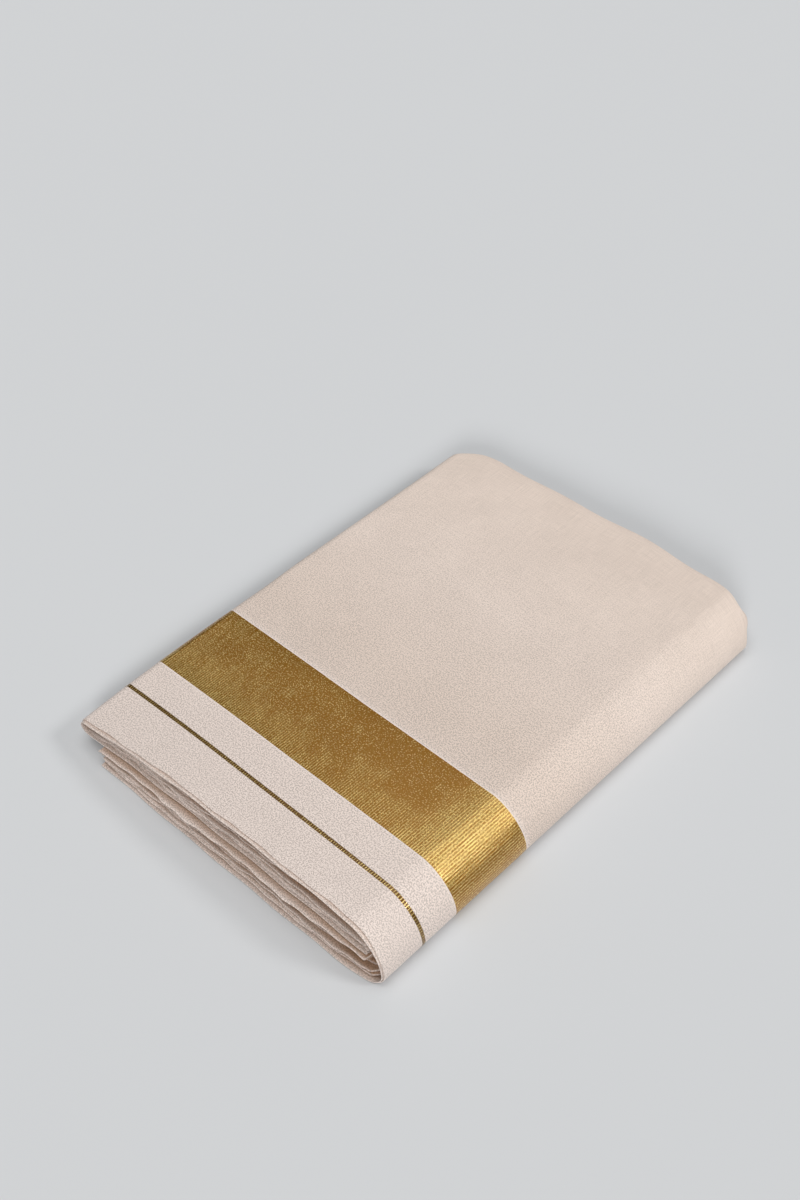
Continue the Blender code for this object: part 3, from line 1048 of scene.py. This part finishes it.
class ClothSettings(bpy.types.PropertyGroup):
    thread_pitch: bpy.props.FloatProperty(
        name="Thread Pitch",
        description="Distance between the cotton's threads",
        default=0.00042,
        min=0.0001,
        max=0.002,
        unit="LENGTH",
    )
    # Mostly painted light: the change from the near colour to the far one stands for light falling
    # differently along the packet, with some of the cloth's own warmer tone
    near_tone_and_light: bpy.props.FloatVectorProperty(
        name="Near Colour",
        description="Colour of the cotton near its selvedge",
        default=(0.852, 0.735, 0.669),
        subtype="COLOR",
        min=0.0,
        max=1.0,
    )
    far_tone_and_light: bpy.props.FloatVectorProperty(
        name="Far Colour",
        description="Colour of the cotton towards its far folds, a little warmer",
        default=(0.840, 0.706, 0.613),
        subtype="COLOR",
        min=0.0,
        max=1.0,
    )
    edge_colour: bpy.props.FloatVectorProperty(
        name="Edge Colour",
        description="Colour of the pale threads beside the gold band",
        default=(0.90, 0.80, 0.74),
        subtype="COLOR",
        min=0.0,
        max=1.0,
    )
    # Painted shade: the tint that multiplies the cotton's colour where it lies in the packet's
    # recesses, between other layers, standing for the shade there
    painted_shade_tint: bpy.props.FloatVectorProperty(
        name="Fold Tint",
        description="How much deeper the cotton's colour is where it lies between other layers",
        default=(0.54, 0.385, 0.265),
        subtype="COLOR",
        min=0.0,
        max=1.0,
    )


class ZariSettings(bpy.types.PropertyGroup):
    rib_pitch: bpy.props.FloatProperty(
        name="Rib Pitch",
        description="Distance between the ribs of the gold band",
        default=0.0015,
        min=0.0005,
        max=0.01,
        unit="LENGTH",
    )
    rib_height: bpy.props.FloatProperty(
        name="Rib Height",
        description="How far a rib stands over the middle of the band's surface",
        default=0.00007,
        min=0.0,
        max=0.001,
        unit="LENGTH",
    )
    line_pitch: bpy.props.FloatProperty(
        name="Line Pitch",
        description="Distance between the bars of the thin gold line",
        default=0.0015,
        min=0.0005,
        max=0.01,
        unit="LENGTH",
    )
    bright_gold: bpy.props.FloatVectorProperty(
        name="Bright Gold",
        description="Colour of the glinting metal threads",
        default=(1.0, 0.76, 0.26),
        subtype="COLOR",
        min=0.0,
        max=1.0,
    )
    dull_gold: bpy.props.FloatVectorProperty(
        name="Dull Gold",
        description="Colour between the metal threads",
        default=(0.395, 0.162, 0.002),
        subtype="COLOR",
        min=0.0,
        max=1.0,
    )


class StageSettings(bpy.types.PropertyGroup):
    floor_colour: bpy.props.FloatVectorProperty(
        name="Floor Colour",
        description="Colour of the plain pale floor",
        default=(0.62, 0.63, 0.64),
        subtype="COLOR",
        min=0.0,
        max=1.0,
    )
    light: bpy.props.FloatProperty(
        name="Light",
        description="Strength of the soft lights, where 1 is the photo's",
        default=1.0,
        min=0.0,
        max=10.0,
    )
    sky: bpy.props.FloatProperty(
        name="Sky",
        description="Strength of the even light from all round",
        default=0.14,
        min=0.0,
        max=10.0,
    )


def shared_cotton(context):
    return bpy.data.materials.get("cotton_weave") or cotton_material(context.scene.dhoti_cloth)


class DHOTI_OT_plain_cloth(bpy.types.Operator):
    """Lay the plain cotton of the outer wrap: selvedge strip, strip beside the band, and body"""

    bl_idname = "dhoti.plain_cloth"
    bl_label = "Plain Cloth"

    def execute(self, context):
        cotton = shared_cotton(context)
        path = Path(WRAP, wrap_point, 0.0016)
        strip = cloth_sheet(
            "selvedge_cloth",
            path,
            outer_selvedge,
            at_crossing(LINE_START),
            (0.0, CLOTH_LINE_START),
            0.0026,
            0.0,
            cotton,
        )
        mark_wrap_shade(strip, path, "tuck")
        placed(strip, "selvedge_strip")
        strip = cloth_sheet(
            "plain_strip_cloth",
            path,
            at_crossing(LINE_END),
            at_crossing(BAND_START),
            (CLOTH_LINE_END, CLOTH_BAND_START),
            0.0028,
            0.0,
            cotton,
        )
        placed(strip, "plain_strip")
        body = cloth_sheet(
            "plain_body_cloth",
            path,
            at_crossing(BAND_END),
            far_limit,
            (CLOTH_BAND_END, CLOTH_FAR_FOLD),
            0.0036,
            0.0,
            cotton,
            True,
        )
        placed(body, "plain_body")
        return {"FINISHED"}


class DHOTI_OT_zari_weave(bpy.types.Operator):
    """Lay the wide gold band and the thin gold line, with their ribs"""

    bl_idname = "dhoti.zari_weave"
    bl_label = "Zari Weave"

    def execute(self, context):
        settings = context.scene.dhoti_zari
        gold = zari_material("zari_band_weave", settings, settings.rib_pitch, 0.90, 0.22, 1.0)
        path = Path(WRAP, wrap_point, settings.rib_pitch / 5)
        band = cloth_sheet(
            "wide_zari_band_weave",
            path,
            at_crossing(BAND_START),
            at_crossing(BAND_END),
            (CLOTH_BAND_START, CLOTH_BAND_END),
            0.0061,
            -0.00006,
            gold,
        )
        mark_raised(band, CLOTH_BAND_START, CLOTH_BAND_END, path.beneath)
        raise_ribs(band, settings.rib_pitch, settings.rib_height, 0.55, 7, gold)
        placed(band, "wide_zari_band")
        barred = zari_material("zari_line_weave", settings, settings.line_pitch, 1.30, -0.26, 0.42)
        path = Path(WRAP, wrap_point, settings.line_pitch / 5)
        line = cloth_sheet(
            "thin_zari_line_weave",
            path,
            at_crossing(LINE_START),
            at_crossing(LINE_END),
            (CLOTH_LINE_START, CLOTH_LINE_END),
            0.0004,
            -0.00005,
            barred,
        )
        mark_raised(line, CLOTH_LINE_START, CLOTH_LINE_END, path.beneath)
        raise_ribs(line, settings.line_pitch, 0.00004, 0.35, 3, barred)
        placed(line, "thin_zari_line")
        return {"FINISHED"}


class DHOTI_OT_second_layer(bpy.types.Operator):
    """Lay the cloth layer just inside the outer one, whose selvedge shows beyond it"""

    bl_idname = "dhoti.second_layer"
    bl_label = "Second Layer"

    def execute(self, context):
        path = Path(WRAP, wrap_point, 0.0018)
        layer = cloth_sheet(
            "second_layer_cloth",
            path,
            second_selvedge,
            second_far,
            (0.0, CLOTH_FAR_FOLD - TURN_BACK),
            0.0042,
            SECOND_DEPTH,
            shared_cotton(context),
        )
        mark_wrap_shade(layer, path, "small fold")
        placed(layer, None)
        return {"FINISHED"}


class DHOTI_OT_inner_leaves(bpy.types.Operator):
    """Lay the leaves between the halves of the outer wrap, bent round the large fold"""

    bl_idname = "dhoti.inner_leaves"
    bl_label = "Inner Leaves"

    def execute(self, context):
        form = LeafForm(0.0030)
        leaves = []
        for index in range(len(LEAVES)):
            point, steps = form.leaf(index, 20)
            leaves.append(bent_block(f"leaf_{index}", point, steps, shared_cotton(context)))
        with context.temp_override(
            active_object=leaves[0],
            object=leaves[0],
            selected_objects=leaves,
            selected_editable_objects=leaves,
        ):
            bpy.ops.object.join()
        stack = leaves[0]
        stack.name = "inner_leaves_cloth"
        stack.data.name = "inner_leaves_cloth"
        mark_leaf_shade(stack)
        placed(stack, "inner_leaves")
        return {"FINISHED"}


class DHOTI_OT_stage(bpy.types.Operator):
    """Set the floor, the soft light and the camera"""

    bl_idname = "dhoti.stage"
    bl_label = "Stage"

    def execute(self, context):
        settings = context.scene.dhoti_stage
        self.floor(settings)
        self.lights(context, settings)
        self.camera(context)
        return {"FINISHED"}

    def floor(self, settings):
        signs = ((-1, -1), (1, -1), (1, 1), (-1, 1))
        corners = [(x * FLOOR_HALF, y * FLOOR_HALF, 0.0) for x, y in signs]
        data = bpy.data.meshes.new("floor")
        data.from_pydata(corners, [], [(0, 1, 2, 3)])
        material, tree, shader = new_material("floor_paper")
        place = tree.nodes.new("ShaderNodeTexCoord")
        cloud = tree.noise(place.outputs["Object"], 3.0, 2.0)
        pale = colour(settings.floor_colour)
        deep = colour([value * 0.985 for value in settings.floor_colour])
        finish = tree.mix(cloud, pale, deep)
        tree.fill(shader, {"Base Color": finish, "Roughness": 0.95, "Specular IOR Level": 0.1})
        data.materials.append(material)
        floor = bpy.data.objects.new("floor", data)
        bpy.context.scene.collection.objects.link(floor)

    def lights(self, context, settings):
        for name, direction, share, angle in SOFTBOXES:
            self.softbox(name, direction, share * settings.light, angle)
        world = bpy.data.worlds.new("soft_sky")
        world.use_nodes = True
        sky = world.node_tree.nodes["Background"]
        sky.inputs["Color"].default_value = (0.97, 0.985, 1.0, 1.0)
        sky.inputs["Strength"].default_value = settings.sky
        context.scene.world = world
        context.scene.view_settings.view_transform = "Standard"

    def softbox(self, name, direction, strength, angle):
        """A broad far light from the direction, which lights the floor evenly."""
        lamp = bpy.data.lights.new(name, "SUN")
        lamp.energy = strength
        lamp.angle = math.radians(angle)
        obj = bpy.data.objects.new(name, lamp)
        x, y, z = direction
        obj.rotation_euler = (math.atan2(math.hypot(x, y), z), 0.0, math.atan2(x, -y))
        obj.location = (x, y, z)
        bpy.context.scene.collection.objects.link(obj)

    def camera(self, context):
        data = bpy.data.cameras.new("camera")
        data.lens = LENS
        data.sensor_width = 36.0
        data.clip_start = 0.01
        data.clip_end = 60.0
        camera = bpy.data.objects.new("camera", data)
        camera.location = (EYE[0] - MIDDLE[0], EYE[1] - MIDDLE[1], EYE[2])
        camera.rotation_euler = (math.radians(TILT), 0.0, math.radians(TURN))
        context.scene.collection.objects.link(camera)
        context.scene.camera = camera


class DHOTI_PT_packet(bpy.types.Panel):
    """The dhoti's pieces and their sizes and colours"""

    bl_idname = "DHOTI_PT_packet"
    bl_label = "Folded Dhoti"
    bl_space_type = "VIEW_3D"
    bl_region_type = "UI"
    bl_category = "Dhoti"

    def draw(self, context):
        scene = context.scene
        for settings, names in (
            (scene.dhoti_cloth, CLOTH_NAMES),
            (scene.dhoti_zari, ZARI_NAMES),
            (scene.dhoti_stage, ("floor_colour", "light", "sky")),
        ):
            box = self.layout.box()
            for name in names:
                box.prop(settings, name)
        for operator in OPERATORS:
            self.layout.operator(operator.bl_idname)


CLOTH_NAMES = ("thread_pitch", "near_tone_and_light", "far_tone_and_light", "edge_colour", "painted_shade_tint")
ZARI_NAMES = ("rib_pitch", "rib_height", "line_pitch", "bright_gold", "dull_gold")
OPERATORS = (
    DHOTI_OT_plain_cloth,
    DHOTI_OT_zari_weave,
    DHOTI_OT_second_layer,
    DHOTI_OT_inner_leaves,
    DHOTI_OT_stage,
)
SETTINGS = (
    ("dhoti_cloth", ClothSettings),
    ("dhoti_zari", ZariSettings),
    ("dhoti_stage", StageSettings),
)


def register():
    for name, settings in SETTINGS:
        bpy.utils.register_class(settings)
        setattr(bpy.types.Scene, name, bpy.props.PointerProperty(type=settings))
    for kind in (*OPERATORS, DHOTI_PT_packet):
        bpy.utils.register_class(kind)


def unregister():
    for kind in (DHOTI_PT_packet, *reversed(OPERATORS)):
        bpy.utils.unregister_class(kind)
    for name, settings in reversed(SETTINGS):
        delattr(bpy.types.Scene, name)
        bpy.utils.unregister_class(settings)


def main():
    register()
    bpy.ops.dhoti.plain_cloth()
    bpy.ops.dhoti.zari_weave()
    bpy.ops.dhoti.second_layer()
    bpy.ops.dhoti.inner_leaves()
    bpy.ops.dhoti.stage()


if __name__ == "__main__":
    main()
